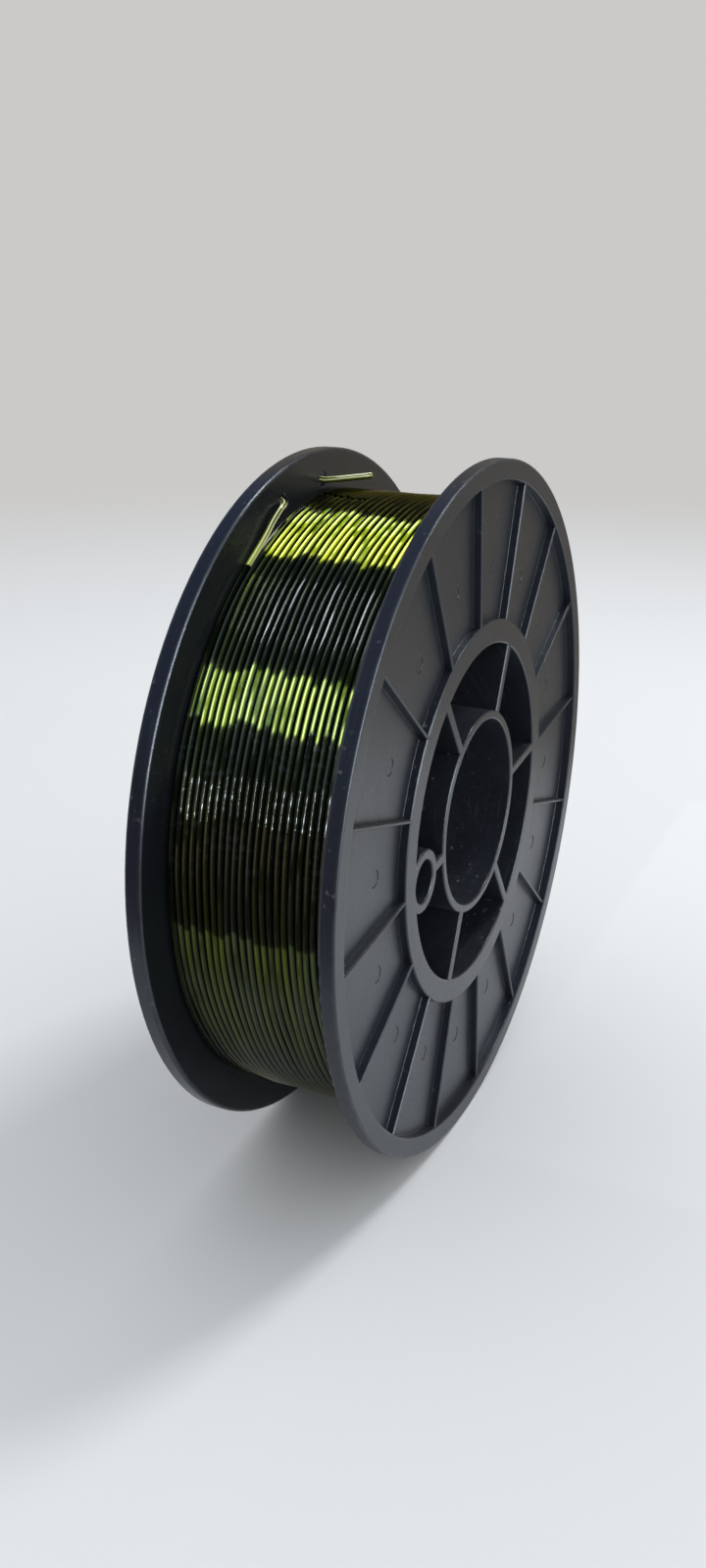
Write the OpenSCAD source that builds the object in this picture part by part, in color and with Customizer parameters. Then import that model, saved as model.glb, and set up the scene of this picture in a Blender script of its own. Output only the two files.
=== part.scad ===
// A filament spool: two moulded halves that snap together at the middle of the barrel,
// and the plastic filament wound on them, with its end tied off through the left flange.
// The spool's axis lies along X, Z is up, and the origin is the middle of the spindle bore.
// Angles round the axis are in degrees, from 0 at the top (+Z) towards +Y.

/* [Flanges] */
// Outer diameter of both flanges
flange_d = 200; // [180:1:240]
// Width of the spool, from rim face to rim face
spool_w = 56.4; // [46:0.2:80]
// Thickness of a flange at its rim
flange_t = 4.6; // [4:0.1:6]
// Thickness of the flange's thin web
web_t = 1.6; // [1.2:0.1:2.4]
// Width of the flat ring along the rim
rim_w = 5.6; // [4:0.2:6.2]
// Rounding of the rim's edge on its outer face
face_round = 0.6; // [0.3:0.1:1]
// Rounding of the rim's edge on the filament's side
inner_round = 1.1; // [0.5:0.1:1.5]
// Small bevel on every moulded edge of the outer faces
bevel = 0.3; // [0.1:0.05:0.4]

/* [Ribs] */
// Number of thin ribs on each flange
rib_count = 16; // [8:1:24]
// Thickness of a rib
rib_t = 1; // [0.9:0.1:2]
// Angle of one rib on the right flange
right_rib_turn = -5.9; // [-22:0.1:22]
// Angle of the rib on the left flange that the filament's end comes back beside
left_rib_turn = 3.75; // [-22:0.25:22]
// Diameter of the ejector pin marks between the ribs
pin_mark_d = 4.5; // [3:0.5:6]
// Depth of the ejector pin marks
pin_mark_depth = 0.15; // [0.1:0.05:0.4]
// Distance of the ejector pin marks from the hub's ring
pin_mark_inset = 15; // [8:0.5:20]

/* [Hub] */
// Diameter of the spindle bore
bore_d = 54.6; // [46:0.2:58]
// Wall of the spindle tube
bore_wall = 2.4; // [1.8:0.1:3.2]
// Inner diameter of the barrel
barrel_in_d = 98.4; // [94:0.2:110]
// Wall of the barrel that the filament is wound on
barrel_wall = 2.6; // [2.2:0.1:4]
// Width of the raised ring round the windows of the hub
hub_ring_w = 6.8; // [5:0.2:9]
// Step from the rim's face down to the hub's face
hub_step = 0.6; // [0.3:0.1:1.2]
// Number of spokes between the spindle tube and the barrel
spoke_count = 6; // [5:1:8]
// Thickness of a spoke
spoke_t = 2.7; // [2.2:0.1:4]
// Thickness of the short spoke between the spindle tube and the drive tube
drive_spoke_t = 3.1; // [2.4:0.1:4]
// Angle of the spoke that carries the drive tube
drive_turn = -96.4; // [-180:0.1:180]
// Diameter of the drive hole
drive_hole_d = 12; // [8:0.5:13]
// Wall of the drive tube
drive_wall = 2.8; // [2:0.1:3.2]

/* [Joint of the halves] */
// Length of the right half's spigot inside the left half's socket
spigot_l = 5; // [3:0.5:8]
// Clearance all round the spigot and the keys
joint_clearance = 0.15; // [0.1:0.05:0.25]
// Height of the snap bead round the spigot
bead_h = 0.3; // [0.2:0.05:0.4]
// Thickness of the keys on the spokes' ends
key_t = 1; // [0.8:0.1:1.2]
// Width of the keys, across the spoke
key_w = 8; // [4:0.5:10]
// Length of the keys
key_l = 3; // [2:0.5:5]

/* [Filament] */
// Diameter of the filament
filament_d = 1.75; // [1.6:0.05:1.9]
// Depth from the rim down to the outer layer of filament
fill_depth = 11.2; // [10.6:0.2:30]
// Clearance between the wound filament and the spool
wound_clearance = 0.3; // [0.2:0.05:0.5]
// Least gap wanted between one turn of the outer layer and the next
turn_gap = 0.42; // [0.42:0.02:1]
// Diameter of the two tie holes in the left flange
tie_hole_d = 4.6; // [4.4:0.2:5]
// Distance from each tie hole's middle to the rib beside it
tie_rib_gap = 6; // [5:0.25:8]
// Length of the cut end that stands over the winding
end_l = 15; // [8:0.5:24]
// Rise of the cut end above the tie hole that it comes from
end_rise = 2; // [0:0.5:3]
// Diameter of the hole in the barrel that holds the filament's first end
anchor_hole_d = 2.6; // [2.4:0.1:4]
// Distance of the anchor hole from the left flange
anchor_inset = 10; // [6:0.5:14]

/* [Hidden] */

half_w = spool_w / 2;
flange_r = flange_d / 2;
inner_x = half_w - flange_t;
panel_x = inner_x + web_t;
hub_x = half_w - hub_step;
rim_in_r = flange_r - rim_w;
barrel_in_r = barrel_in_d / 2;
barrel_out_r = barrel_in_r + barrel_wall;
hub_ring_r = barrel_in_r + hub_ring_w;
bore_r = bore_d / 2;
bore_out_r = bore_r + bore_wall;
drive_r = drive_hole_d / 2;
drive_out_r = drive_r + drive_wall;
drive_place_r = barrel_in_r - drive_r;
pin_mark_r = hub_ring_r + pin_mark_inset;
embed = 1;
smooth = 180;

spigot_r = barrel_in_r + (barrel_wall - joint_clearance) / 2;
socket_r = spigot_r + joint_clearance;
key_place_r = (bore_out_r + barrel_in_r) / 2;

// What is left between one stretch of the filament and the next
layer_seat = 0.1;

// The outer layer: hexagonal turns with a flat side towards each neighbour.
turn_rings = 24;
turn_sides = 6;
turn_r = filament_d / 2;
turn_flat = turn_r * cos(180 / turn_sides);
wound_r = flange_r - fill_depth;
turn_path_r = wound_r - turn_r;
first_turn_x = inner_x - wound_clearance - turn_flat;
turn_travel = 2 * first_turn_x;
turns = min(24, floor(turn_travel / (2 * turn_flat + turn_gap)));
turn_pitch = turn_travel / turns;
core_r = turn_path_r * cos(180 / turn_rings) - turn_r - layer_seat;
core_in_r = barrel_out_r + wound_clearance;
rise_bend_r = 2 * filament_d;

// The tail: the two tie holes, one bay of the left flange's ribs apart, and the places
// [x, angle] that the filament takes on its way to a hole, through it and away from it.
tie_place_r = (wound_r + rim_in_r) / 2;
tie_rib_turn = tie_rib_gap / tie_place_r * 180 / PI;
tie_out_turn = left_rib_turn - 360 / rib_count + tie_rib_turn;
tie_back_turn = left_rib_turn - tie_rib_turn;
turns_end_turn = tie_out_turn - 18;
tail_sides = 8;
tail_steps = 4;
inside_x = -(inner_x - turn_r - 0.5);
outside_x = -(panel_x + turn_r + 0.5);
go_out = [[inside_x, -3.2], [inside_x - 0.3, -1.5], [-inner_x, -0.35],
          [-panel_x, 0.35], [outside_x + 0.3, 1.5], [outside_x, 3.2]];
come_back = [[outside_x, -3.2], [outside_x + 0.3, -1.5], [-panel_x, -0.35], [-inner_x, 0]];

// The start: a bent end in the barrel, in the middle of a window of the hub.
anchor_turn = drive_turn + 1.5 * 360 / spoke_count;
anchor_x = -(inner_x - anchor_inset);
anchor_bend_r = 3;
anchor_leg = 6;

// ---- Helpers ----

// Turns a drawing of [radius, x] round the spool's axis
module revolve() {
  rotate([0, 90, 0]) rotate_extrude($fn = smooth) children();
}

// Turns something that stands at the top to an angle round the axis
module at_turn(turn) {
  rotate([-turn, 0, 0]) children();
}

// A rod along the axis, from one x to another, at a radius and an angle
module rod(r, from_x, to_x, place_r = 0, turn = 0) {
  at_turn(turn)
    translate([from_x, 0, place_r])
      rotate([0, 90, 0])
        cylinder(r = r, h = to_x - from_x, $fn = smooth);
}

// A wall along a radius with its outer edge bevelled
module radial_wall(thick, from_x, to_x, from_r, to_r) {
  t = thick / 2;
  translate([0, 0, from_r])
    linear_extrude(height = to_r - from_r)
      polygon([[from_x, -t], [to_x - bevel, -t], [to_x, bevel - t],
               [to_x, t - bevel], [to_x - bevel, t], [from_x, t]]);
}

// The section of a ring as [radius, x], with both outer edges bevelled
module ring_section(in_r, out_r, from_x, to_x) {
  polygon([[in_r, from_x], [out_r, from_x], [out_r, to_x - bevel],
           [out_r - bevel, to_x], [in_r + bevel, to_x], [in_r, to_x - bevel]]);
}

// ---- The moulded halves ----

module rim_section() {
  polygon([[rim_in_r, inner_x], [flange_r - inner_round, inner_x],
           [flange_r, inner_x + inner_round], [flange_r, half_w - face_round],
           [flange_r - face_round, half_w], [rim_in_r + bevel, half_w],
           [rim_in_r, half_w - bevel]]);
  translate([flange_r - inner_round, inner_x + inner_round])
    circle(r = inner_round, $fn = 64);
  translate([flange_r - face_round, half_w - face_round])
    circle(r = face_round, $fn = 64);
}

module flange_section() {
  rim_section();
  ring_section(barrel_in_r, hub_ring_r, inner_x, hub_x);
  translate([barrel_in_r, inner_x])
    square([rim_in_r + embed - barrel_in_r, web_t]);
  translate([barrel_in_r, 0])
    square([barrel_wall, inner_x + embed]);
}

module ribs(turn) {
  for (i = [0 : rib_count - 1])
    at_turn(turn + i * 360 / rib_count)
      radial_wall(rib_t, panel_x - embed / 2, hub_x, hub_ring_r - embed, rim_in_r + embed);
}

module pin_marks(turn) {
  for (i = [0 : rib_count - 1])
    rod(pin_mark_d / 2, panel_x - pin_mark_depth, panel_x + embed, pin_mark_r,
        turn + (i + 0.5) * 360 / rib_count);
}

module spokes(turn) {
  for (i = [1 : spoke_count - 1])
    at_turn(turn + i * 360 / spoke_count)
      radial_wall(spoke_t, 0, hub_x, bore_out_r - embed, barrel_in_r + embed);
  at_turn(turn)
    radial_wall(drive_spoke_t, 0, hub_x, bore_out_r - embed, drive_place_r - drive_r - embed);
}

module drive_tube(turn) {
  intersection() {
    at_turn(turn)
      translate([0, 0, drive_place_r])
        revolve() ring_section(drive_r, drive_out_r, 0, hub_x);
    rod(barrel_in_r + barrel_wall / 2, -embed, hub_x + embed);
  }
}

// Half of the spool on the +X side, without the joint in the middle
module half_body(rib_turn, hub_turn) {
  difference() {
    union() {
      revolve() flange_section();
      revolve() ring_section(bore_r, bore_out_r, 0, hub_x);
      ribs(rib_turn);
      spokes(hub_turn);
      drive_tube(hub_turn);
    }
    rod(drive_r, -embed, hub_x + embed, drive_place_r, hub_turn);
    pin_marks(rib_turn);
  }
}

// The keys on the spokes' ends, grown by a clearance to cut their slots
module keys(grow) {
  for (i = [1 : spoke_count - 1])
    at_turn(drive_turn + i * 360 / spoke_count)
      translate([-key_l - grow, -key_t / 2 - grow, key_place_r - key_w / 2 - grow])
        cube([key_l + grow + embed, key_t + 2 * grow, key_w + 2 * grow]);
}

module spigot_section() {
  translate([barrel_in_r, -spigot_l])
    square([spigot_r - barrel_in_r, spigot_l + embed]);
  intersection() {
    translate([spigot_r, -spigot_l / 2])
      circle(r = bead_h, $fn = 32);
    translate([barrel_in_r, -spigot_l])
      square([barrel_wall, spigot_l]);
  }
}

module socket_section() {
  translate([barrel_in_r - joint_clearance, -spigot_l - joint_clearance])
    square([socket_r - barrel_in_r + joint_clearance, spigot_l + joint_clearance + embed]);
  translate([spigot_r, -spigot_l / 2])
    circle(r = bead_h + joint_clearance, $fn = 32);
}

module right_half() {
  color("#1b1c1f") {
    half_body(right_rib_turn, drive_turn);
    revolve() spigot_section();
    keys(0);
  }
}

module left_half() {
  color("#1b1c1f")
    difference() {
      rotate([0, 0, 180]) half_body(-left_rib_turn, -drive_turn);
      revolve() socket_section();
      keys(joint_clearance);
      for (turn = [tie_out_turn, tie_back_turn])
        rod(tie_hole_d / 2, -panel_x - embed, -inner_x + embed, tie_place_r, turn);
      at_turn(anchor_turn)
        translate([anchor_x, 0, barrel_in_r - embed])
          cylinder(d = anchor_hole_d, h = barrel_wall + 2 * embed, $fn = 48);
    }
}

// ---- The filament ----

// A tube through rings of points, all with the same number of sides
module ring_tube(rings) {
  sides = len(rings[0]);
  last = (len(rings) - 1) * sides;
  polyhedron(
    points = [for (ring = rings) each ring],
    faces = [
      for (i = [0 : len(rings) - 2], j = [0 : sides - 1])
        let (a = i * sides + j, b = i * sides + (j + 1) % sides)
        each [[a, b, a + sides], [b, b + sides, a + sides]],
      for (j = [1 : sides - 2]) [0, j + 1, j],
      for (j = [1 : sides - 2]) [last, last + j, last + j + 1]]);
}

// Directions at an angle round the axis: outwards, and along the turn
function out_at(turn) = [0, sin(turn), cos(turn)];
function along_at(turn) = [0, cos(turn), -sin(turn)];
function at_place(x, r, turn) = [x, 0, 0] + r * out_at(turn);

// A hexagon across the filament at a point, with its flat sides towards +X and -X
function turn_ring(middle, up) =
  [for (j = [0 : turn_sides - 1])
    let (a = 30 + j * 360 / turn_sides)
    middle + turn_r * (cos(a) * [1, 0, 0] + sin(a) * up)];

// The outer layer rises out of the layer below, winds to the left and ends in a straight run
rise_bend_steps = 6;
turns_end = at_place(-first_turn_x, turn_path_r, turns_end_turn);
turns_start = at_place(first_turn_x, turn_path_r, turns_end_turn);
function rise_place(b, drop) =
  turns_start - rise_bend_r * sin(b) * along_at(turns_end_turn)
  - (rise_bend_r * (1 - cos(b)) + drop) * out_at(turns_end_turn);
function rise_up(b) = cos(b) * out_at(turns_end_turn) - sin(b) * along_at(turns_end_turn);
turn_count_rings = turns * turn_rings;
outer_layer_rings = [
  turn_ring(rise_place(90, filament_d), rise_up(90)),
  for (i = [rise_bend_steps : -1 : 1])
    let (b = i * 90 / rise_bend_steps) turn_ring(rise_place(b, 0), rise_up(b)),
  for (i = [0 : turn_count_rings])
    let (turn = turns_end_turn + (i % turn_rings) * 360 / turn_rings)
    turn_ring(at_place(first_turn_x - i * turn_pitch / turn_rings, turn_path_r, turn), out_at(turn)),
  turn_ring(turns_end + filament_d * along_at(turns_end_turn), out_at(turns_end_turn))];

// The least gap of the outer layer to itself, between the points of its rings half a
// turn to a turn and a half apart
ring_total = len(outer_layer_rings);
turn_gaps = [
  for (i = [0 : ring_total - 1], step = [turn_rings / 2 : 1.5 * turn_rings])
    if (i + step < ring_total)
      min([for (p = outer_layer_rings[i], q = outer_layer_rings[i + step]) norm(p - q)])];
echo(least_gap_between_turns = min(turn_gaps), turns = turns, pitch = turn_pitch);

// The notch in the layers below, where the outer layer rises out of them
module rise_notch() {
  notch_w = 2 * (turn_flat + wound_clearance);
  notch_l = rise_bend_r + turn_r + wound_clearance;
  at_turn(turns_end_turn)
    translate([first_turn_x - notch_w / 2, -notch_l, turn_path_r - rise_bend_r - filament_d])
      cube([notch_w + embed, notch_l - turn_r, core_r]);
}

module filament_inner_layers() {
  wound_w = 2 * (inner_x - wound_clearance);
  color("#3a3f14")
    difference() {
      revolve()
        translate([core_in_r, -wound_w / 2])
          square([core_r - core_in_r, wound_w]);
      rise_notch();
    }
}

module filament_outer_layer() {
  color("#7f8f1e") ring_tube(outer_layer_rings);
}

// The tail's route, from the last turn through both tie holes to the cut end
tail_start = turns_end + filament_d * along_at(turns_end_turn);
tail_climb = [[wound_r + 0.3, -10], [(wound_r + tie_place_r) / 2 + 0.3, -6.5]];
tail_places = [
  tail_start,
  tail_start + filament_d * along_at(turns_end_turn),
  for (p = tail_climb) at_place(inside_x, p[0], tie_out_turn + p[1]),
  for (p = go_out) at_place(p[0], tie_place_r, tie_out_turn + p[1]),
  at_place(outside_x, tie_place_r, (tie_out_turn + tie_back_turn) / 2),
  for (p = come_back) at_place(p[0], tie_place_r, tie_back_turn + p[1]),
  at_place(-inner_x + 2, tie_place_r, tie_back_turn),
  at_place(-inner_x + end_l, tie_place_r + end_rise, tie_back_turn)];

// A smooth curve through four places in a row, from the second to the third
function curve_point(a, b, c, d, t) =
  0.5 * (2 * b + (c - a) * t + (2 * a - 5 * b + 4 * c - d) * t * t
         + (3 * b - a - 3 * c + d) * t * t * t);

// The first and the last stretch are straight, and the rest is smooth
tail_last = len(tail_places) - 1;
tail_path = [
  tail_places[0],
  for (i = [1 : tail_last - 2], k = [0 : tail_steps - 1])
    curve_point(tail_places[i - 1], tail_places[i], tail_places[i + 1], tail_places[i + 2],
                k / tail_steps),
  tail_places[tail_last - 1],
  tail_places[tail_last]];

function unit(v) = v / norm(v);
function path_way(i) =
  unit(tail_path[min(i + 1, len(tail_path) - 1)] - tail_path[max(i - 1, 0)]);
function tail_ring(i) =
  let (middle = tail_path[i],
       way = path_way(i),
       side = unit(cross(way, [0, middle[1], middle[2]])),
       up = cross(side, way))
  [for (j = [0 : tail_sides - 1])
    let (a = (j + 0.5) * 360 / tail_sides)
    middle + turn_r * (cos(a) * side + sin(a) * up)];

module filament_tail() {
  color("#8c9c22") ring_tube([for (i = [0 : len(tail_path) - 1]) tail_ring(i)]);
}

// The first end of the filament, through the barrel and bent along its inside
module filament_start() {
  bend_place_r = barrel_in_r - wound_clearance;
  color("#7f8f1e")
    at_turn(anchor_turn)
      translate([anchor_x, 0, bend_place_r]) {
        cylinder(d = filament_d, h = core_in_r - bend_place_r - layer_seat, $fn = 48);
        translate([anchor_bend_r, 0, 0])
          rotate([90, 0, 0])
            intersection() {
              rotate_extrude($fn = smooth)
                translate([anchor_bend_r, 0]) circle(d = filament_d, $fn = 48);
              translate([-2 * anchor_bend_r, -2 * anchor_bend_r, -filament_d])
                cube([2 * anchor_bend_r, 2 * anchor_bend_r, 2 * filament_d]);
            }
        translate([anchor_bend_r, 0, -anchor_bend_r])
          rotate([0, 90, 0])
            cylinder(d = filament_d, h = anchor_leg, $fn = 48);
      }
}

right_half();
left_half();
filament_inner_layers();
filament_outer_layer();
filament_tail();
filament_start();
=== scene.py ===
import bpy
import numpy as np
from mathutils import Matrix


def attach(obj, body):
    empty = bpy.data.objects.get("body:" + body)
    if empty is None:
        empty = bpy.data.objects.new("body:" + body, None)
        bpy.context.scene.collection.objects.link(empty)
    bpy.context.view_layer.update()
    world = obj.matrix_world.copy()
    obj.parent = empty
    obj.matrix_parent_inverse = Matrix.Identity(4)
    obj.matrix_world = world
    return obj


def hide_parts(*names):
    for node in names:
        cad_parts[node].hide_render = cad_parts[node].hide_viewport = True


# A filament spool. The two moulded halves come from the frame and get their finish here. The filament on
# them is made again as one long strand, wound over the layers below it and tied off through the left flange.
# Metres, with X along the spool's axis and Z up. Angles round the axis run from the top (+Z) towards +Y.

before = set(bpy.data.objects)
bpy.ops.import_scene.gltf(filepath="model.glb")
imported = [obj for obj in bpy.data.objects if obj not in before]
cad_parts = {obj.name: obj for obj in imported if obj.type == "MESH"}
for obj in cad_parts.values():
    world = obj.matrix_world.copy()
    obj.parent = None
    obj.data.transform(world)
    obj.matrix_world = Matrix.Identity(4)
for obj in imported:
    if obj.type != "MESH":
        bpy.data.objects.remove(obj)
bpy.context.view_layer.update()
scene = bpy.context.scene
scene.view_settings.view_transform = "Standard"
print("frame loaded:", ", ".join(sorted(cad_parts)))

cameraSet = {
    "azimuth": 0.393807,     # radians round +Z from the -Y side
    "elevation": 0.36,
    "distance": 0.406063,
    "pan": 0.0291521,        # aim left or right of the middle of the spool
    "tilt": 0.00879651,
    "roll": -0.0245439,
    "lens": 31.27635,
    "clip": (0.01, 50),
}


def turnAbout(vector, axis, angle):
    # the part along the axis stays and the rest turns by the angle: v cos + (k x v) sin + k (k.v)(1 - cos)
    return (vector * np.cos(angle) + np.cross(axis, vector) * np.sin(angle)
            + axis * np.dot(axis, vector) * (1 - np.cos(angle)))


def putAt(obj, x, y, z, middle):
    # the object's own axes and its middle, as the columns of its matrix
    place = np.eye(4)
    place[:3, 0], place[:3, 1], place[:3, 2], place[:3, 3] = x, y, z, middle
    obj.matrix_world = Matrix(place.tolist())


def makeCamera(s):
    # back from the middle of the spool by the distance, then panned, tilted and rolled about its own axes
    az, el = s["azimuth"], s["elevation"]
    back = np.array([np.sin(az) * np.cos(el), -np.cos(az) * np.cos(el), np.sin(el)])
    ahead = -back
    right = np.cross(ahead, [0, 0, 1])
    right /= np.linalg.norm(right)
    up = np.cross(right, ahead)
    ahead, right = turnAbout(ahead, up, s["pan"]), turnAbout(right, up, s["pan"])
    ahead, up = turnAbout(ahead, right, s["tilt"]), turnAbout(up, right, s["tilt"])
    right, up = turnAbout(right, ahead, s["roll"]), turnAbout(up, ahead, s["roll"])
    data = bpy.data.cameras.new("camera")
    data.lens = s["lens"]
    data.clip_start, data.clip_end = s["clip"]
    obj = bpy.data.objects.new("camera", data)
    scene.collection.objects.link(obj)
    putAt(obj, right, up, -ahead, back * s["distance"])
    scene.camera = obj


makeCamera(cameraSet)
print("camera set")


def outAt(angle):
    # straight out from the axis: (0, sin, cos)
    return np.stack([0 * angle, np.sin(angle), np.cos(angle)], -1)


def alongAt(angle):
    # the way a turn runs as its angle grows: (0, cos, -sin)
    return np.stack([0 * angle, np.cos(angle), -np.sin(angle)], -1)


def unit(vectors):
    return vectors / np.linalg.norm(vectors, axis=-1, keepdims=True)


def gridMesh(name, grid, uv=None, closeRows=False, closeColumns=False, endCaps=False, smooth=True):
    # each face joins point (i, j) of the grid to its neighbours one row and one column on;
    # where the grid closes on itself, uv has one row or column more than the grid
    rows, columns = grid.shape[:2]
    i = np.arange(rows if closeRows else rows - 1)[:, None, None]
    j = np.arange(columns if closeColumns else columns - 1)[None, :, None]
    down, across = np.array([0, 1, 1, 0]), np.array([0, 0, 1, 1])
    faces = ((i + down) % rows * columns + (j + across) % columns).reshape(-1, 4).tolist()
    if endCaps:
        faces.append(list(range(columns)))
        faces.append(list(range((rows - 1) * columns, rows * columns))[::-1])
    mesh = bpy.data.meshes.new(name)
    mesh.from_pydata(grid.reshape(-1, 3).tolist(), [], faces)
    mesh.polygons.foreach_set("use_smooth", np.full(len(mesh.polygons), smooth))
    if uv is not None:
        corners = uv[i + down, j + across].reshape(-1, 2)
        if endCaps:
            corners = np.concatenate([corners, uv[0, :columns], uv[-1, :columns][::-1]])
        mesh.uv_layers.new(name="strand").data.foreach_set("uv", corners.astype(np.float32).ravel())
    mesh.update()
    obj = bpy.data.objects.new(name, mesh)
    scene.collection.objects.link(obj)
    return obj


def feed(tree, socket, value):
    # a socket is linked, and a plain value is set
    if isinstance(value, bpy.types.NodeSocket):
        tree.links.new(value, socket)
    else:
        socket.default_value = value


def addNode(tree, kind, place=(0, 0), **values):
    node = tree.nodes.new(kind)
    node.location = place
    for key, value in values.items():
        setattr(node, key, value)
    return node


def setInputs(node, values):
    for label, value in values.items():
        node.inputs[label].default_value = value


def calc(tree, operation, first, second=0.0, place=(0, 0)):
    node = addNode(tree, "ShaderNodeMath", place, operation=operation)
    feed(tree, node.inputs[0], first)
    feed(tree, node.inputs[1], second)
    return node.outputs[0]


def vectorCalc(tree, operation, first, second=(0.0, 0.0, 0.0), place=(0, 0)):
    node = addNode(tree, "ShaderNodeVectorMath", place, operation=operation)
    feed(tree, node.inputs[0], first)
    feed(tree, node.inputs["Scale"] if operation == "SCALE" else node.inputs[1], second)
    return node.outputs["Value" if operation in ("DOT_PRODUCT", "LENGTH") else "Vector"]


def ramp(tree, value, low, high, place=(0, 0)):
    # 0 below low, 1 above high, and smooth between them
    node = addNode(tree, "ShaderNodeMapRange", place, interpolation_type="SMOOTHSTEP")
    feed(tree, node.inputs["Value"], value)
    feed(tree, node.inputs["From Min"], low)
    feed(tree, node.inputs["From Max"], high)
    return node.outputs["Result"]


def blend(tree, share, first, second, place=(0, 0)):
    node = addNode(tree, "ShaderNodeMix", place, data_type="RGBA")
    feed(tree, node.inputs[0], share)
    feed(tree, node.inputs[6], first)
    feed(tree, node.inputs[7], second)
    return node.outputs[2]


def noise(tree, vector, scale, place=(0, 0), detail=2.0):
    # the scale is in waves per metre, one for each direction
    stretched = vectorCalc(tree, "MULTIPLY", vector, scale, (place[0] - 200, place[1]))
    node = addNode(tree, "ShaderNodeTexNoise", place)
    setInputs(node, {"Scale": 1, "Detail": detail})
    tree.links.new(stretched, node.inputs["Vector"])
    return node.outputs[0]


def newMaterial(name):
    mat = bpy.data.materials.new(name)
    mat.use_nodes = True
    tree = mat.node_tree
    tree.nodes.clear()
    out = addNode(tree, "ShaderNodeOutputMaterial", (900, 0))
    shader = addNode(tree, "ShaderNodeBsdfPrincipled", (600, 0))
    tree.links.new(shader.outputs[0], out.inputs[0])
    return mat, tree, shader


def newGroup(name, inputs, outputs):
    tree = bpy.data.node_groups.new(name, "ShaderNodeTree")
    for label, value in inputs.items():
        kind = "NodeSocketVector" if value is None else "NodeSocketFloat"
        socket = tree.interface.new_socket(label, in_out="INPUT", socket_type=kind)
        if value is not None:
            socket.default_value = value
    for label in outputs:
        tree.interface.new_socket(label, in_out="OUTPUT", socket_type="NodeSocketFloat")
    given = addNode(tree, "NodeGroupInput", (-1200, 0)).outputs
    return tree, given, addNode(tree, "NodeGroupOutput", (900, 0)).inputs


def useGroup(tree, group, place=(0, 0), **values):
    node = addNode(tree, "ShaderNodeGroup", place, node_tree=group)
    for label, value in values.items():
        feed(tree, node.inputs[label], value)
    return node.outputs


grainSet = {"fineDetail": 3, "fineShare": 0.6, "slowShare": 0.4, "toneGain": 4.0}


def makeGrainGroup(s):
    # moulded or drawn plastic: a fine skin and slow waves under it, as Height for a bump and as Tone, which
    # goes round 1, for a colour
    tree, given, out = newGroup("plasticGrain", {"Place": None, "Fine": 900.0, "Slow": 45.0, "Amount": 0.2},
                                ("Height", "Tone"))
    fine = addNode(tree, "ShaderNodeTexNoise", (-600, 200))
    slow = addNode(tree, "ShaderNodeTexNoise", (-600, -200))
    fine.inputs["Detail"].default_value = s["fineDetail"]
    for node, label in ((fine, "Fine"), (slow, "Slow")):
        tree.links.new(given["Place"], node.inputs["Vector"])
        tree.links.new(given[label], node.inputs["Scale"])
    both = calc(tree, "ADD", calc(tree, "MULTIPLY", fine.outputs[0], s["fineShare"], (-300, 200)),
                calc(tree, "MULTIPLY", slow.outputs[0], s["slowShare"], (-300, -200)), (-100, 0))
    tree.links.new(both, out["Height"])
    away = calc(tree, "SUBTRACT", both, 0.5, (100, -100))
    away = calc(tree, "MULTIPLY", away, given["Amount"], (300, -100))
    away = calc(tree, "MULTIPLY", away, s["toneGain"], (500, -100))
    tree.links.new(calc(tree, "ADD", away, 1.0, (700, -100)), out["Tone"])
    return tree


dustSet = {
    "patchScale": 28,        # waves per metre of the loose patches
    "specks": (0.68, 0.76),  # where in its noise a speck starts and is full
    "patches": (0.4, 0.62),
    "upward": (-0.3, 0.9),   # the normal's Z, and how much of the dust goes by it
    "upwardShare": 0.7,
}


def makeDustGroup(s):
    # specks where a fine noise peaks, more of them in loose patches and on what faces up
    tree, given, out = newGroup("settledDust", {"Place": None, "Size": 600.0, "Amount": 0.5}, ("Mask",))
    specks = addNode(tree, "ShaderNodeTexNoise", (-600, 200))
    patches = addNode(tree, "ShaderNodeTexNoise", (-600, -100))
    patches.inputs["Scale"].default_value = s["patchScale"]
    specks.inputs["Detail"].default_value = 1
    tree.links.new(given["Place"], specks.inputs["Vector"])
    tree.links.new(given["Size"], specks.inputs["Scale"])
    tree.links.new(given["Place"], patches.inputs["Vector"])
    facing = addNode(tree, "ShaderNodeSeparateXYZ", (-600, -400))
    tree.links.new(addNode(tree, "ShaderNodeNewGeometry", (-800, -400)).outputs["Normal"], facing.inputs[0])
    upward = calc(tree, "MULTIPLY", ramp(tree, facing.outputs["Z"], *s["upward"], (-400, -400)),
                  s["upwardShare"], (-300, -400))
    upward = calc(tree, "ADD", upward, 1 - s["upwardShare"], (-200, -400))
    sharp = calc(tree, "MULTIPLY", ramp(tree, specks.outputs[0], *s["specks"], (-400, 200)),
                 ramp(tree, patches.outputs[0], *s["patches"], (-400, -100)), (-100, 100))
    mask = calc(tree, "MULTIPLY", calc(tree, "MULTIPLY", sharp, upward, (100, 0)), given["Amount"], (300, 0))
    tree.links.new(mask, out["Mask"])
    return tree


marksSet = {"start": 0.9, "softness": 0.12}     # where in its noise a mark starts, less the share


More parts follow.
